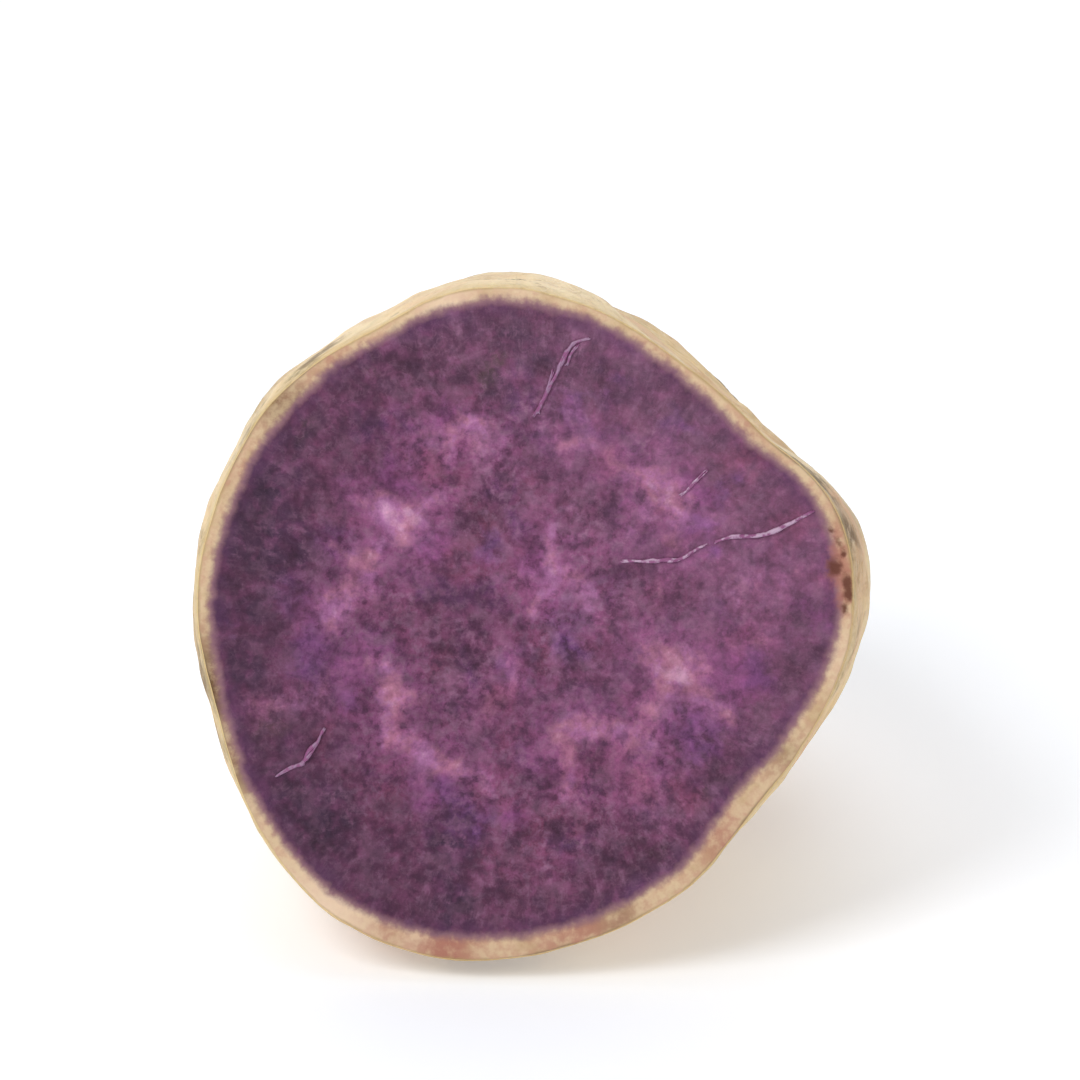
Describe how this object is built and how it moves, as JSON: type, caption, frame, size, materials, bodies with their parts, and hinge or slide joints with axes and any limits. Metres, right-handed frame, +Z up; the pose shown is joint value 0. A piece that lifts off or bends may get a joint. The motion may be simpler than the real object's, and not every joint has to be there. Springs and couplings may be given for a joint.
{
  "type": "purple sweet potato",
  "caption": "Cut half of a pale-skinned, purple-fleshed sweet potato, lying on its belly with the flat cut face to the front.",
  "frame": {"origin": "on the surface that the half lies on, under the middle of its bounding box", "axes": "+Z up; the cut face looks along -Y and leans back 17 degrees; +Y runs from the cut face towards the root end"},
  "size_m": [0.0796, 0.0988, 0.0774],
  "materials": {
    "skin": "matte",
    "flesh": "satin"
  },
  "bodies": {
    "root": {"sweet_potato_half": "skin"}
  },
  "joints": []
}
